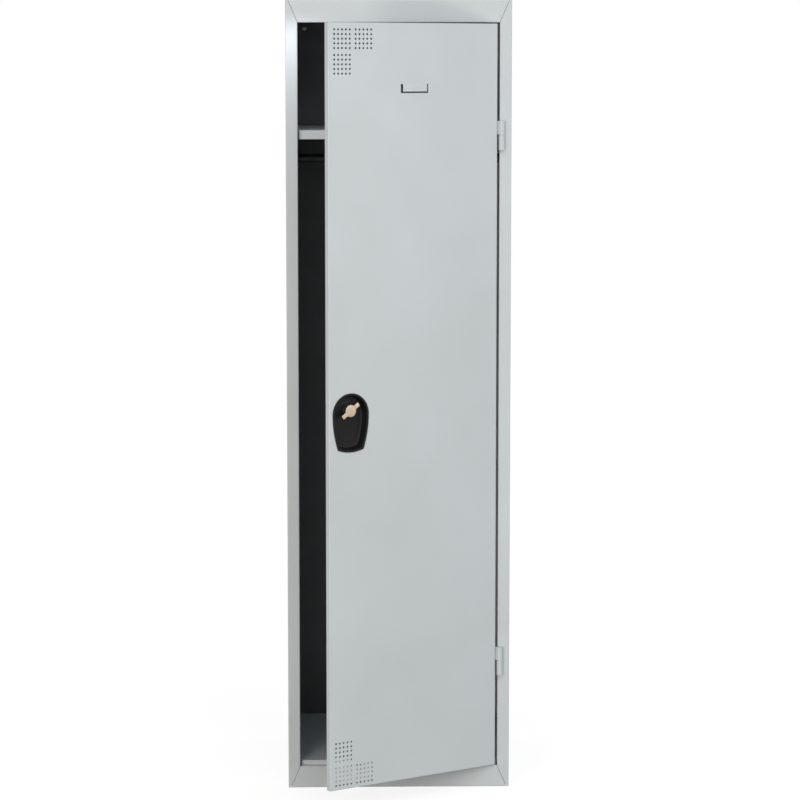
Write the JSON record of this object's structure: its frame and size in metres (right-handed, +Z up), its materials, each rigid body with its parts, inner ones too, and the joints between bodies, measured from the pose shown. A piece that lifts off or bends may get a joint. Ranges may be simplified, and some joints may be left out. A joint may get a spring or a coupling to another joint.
{
  "type": "clothing locker",
  "caption": "Tall steel clothing locker with a mitred front frame, a perforated pan door on barrel hinges, a recessed turn-latch handle, a hat shelf and a hanging rail.",
  "frame": {"origin": "on the floor, in the middle of the foot return of the front rail, 10 mm behind the front frame's face", "axes": "+X to the right as seen from the front, +Y from the front to the back panel, +Z up"},
  "size_m": [0.508, 0.7417, 1.8],
  "materials": {
    "light_grey_powder_coat": "satin",
    "dark_grey_powder_coat": "satin",
    "black_powder_coat": "satin",
    "zinc_plate": "bright plated",
    "satin_nickel": "satin plated",
    "black_moulded_plastic": "fine moulded grain",
    "grey_moulded_plastic": "fine moulded grain",
    "black_rubber": "matte",
    "white_nylon": "matte"
  },
  "bodies": {
    "carcass": {"side_panel_left": "light_grey_powder_coat", "side_panel_right": "light_grey_powder_coat", "back_panel": "dark_grey_powder_coat", "top_panel": "light_grey_powder_coat", "bottom_panel": "light_grey_powder_coat", "hat_shelf": "light_grey_powder_coat", "shelf_bracket_left": "light_grey_powder_coat", "shelf_bracket_right": "light_grey_powder_coat", "hanging_rail": "black_powder_coat", "rail_socket_left": "zinc_plate", "rail_socket_right": "zinc_plate", "door_buffer_left": "black_rubber", "door_buffer_right": "black_rubber", "hinge_frame_leaf_top": "light_grey_powder_coat", "hinge_frame_leaf_bottom": "light_grey_powder_coat", "hinge_pin_top": "zinc_plate", "hinge_pin_bottom": "zinc_plate", "hinge_washer_top": "white_nylon", "hinge_washer_bottom": "white_nylon"},
    "door": {"door_panel": "light_grey_powder_coat", "door_stiffener": "light_grey_powder_coat", "label_pocket": "grey_moulded_plastic", "hinge_door_leaf_top": "light_grey_powder_coat", "hinge_door_leaf_bottom": "light_grey_powder_coat", "handle_cup": "black_moulded_plastic", "latch_bush": "zinc_plate", "bush_nut": "zinc_plate"},
    "latch": {"latch_knob": "satin_nickel", "latch_cam": "zinc_plate", "cam_washer": "zinc_plate", "cam_nut": "zinc_plate"},
    "hook_left": {"coat_hook_left": "zinc_plate"},
    "hook_right": {"coat_hook_right": "zinc_plate"}
  },
  "joints": [
    {"name": "door_hinge", "type": "hinge", "parent": "carcass", "child": "door", "pos_m": [0.2315, -0.0165, 0.9], "axis": [0, 0, 1], "range_deg": [-32, 88]},
    {"name": "latch_turn", "type": "hinge", "parent": "door", "child": "latch", "pos_m": [-0.11091, -0.2228, 0.901], "axis": [0.5299, -0.848, 0], "range_deg": [-34, 56]},
    {"name": "hook_left_slide", "type": "slide", "parent": "carcass", "child": "hook_left", "axis": [1, 0, 0], "range_m": [-0.145, 0.065]},
    {"name": "hook_right_slide", "type": "slide", "parent": "carcass", "child": "hook_right", "axis": [1, 0, 0], "range_m": [-0.065, 0.145]}
  ]
}
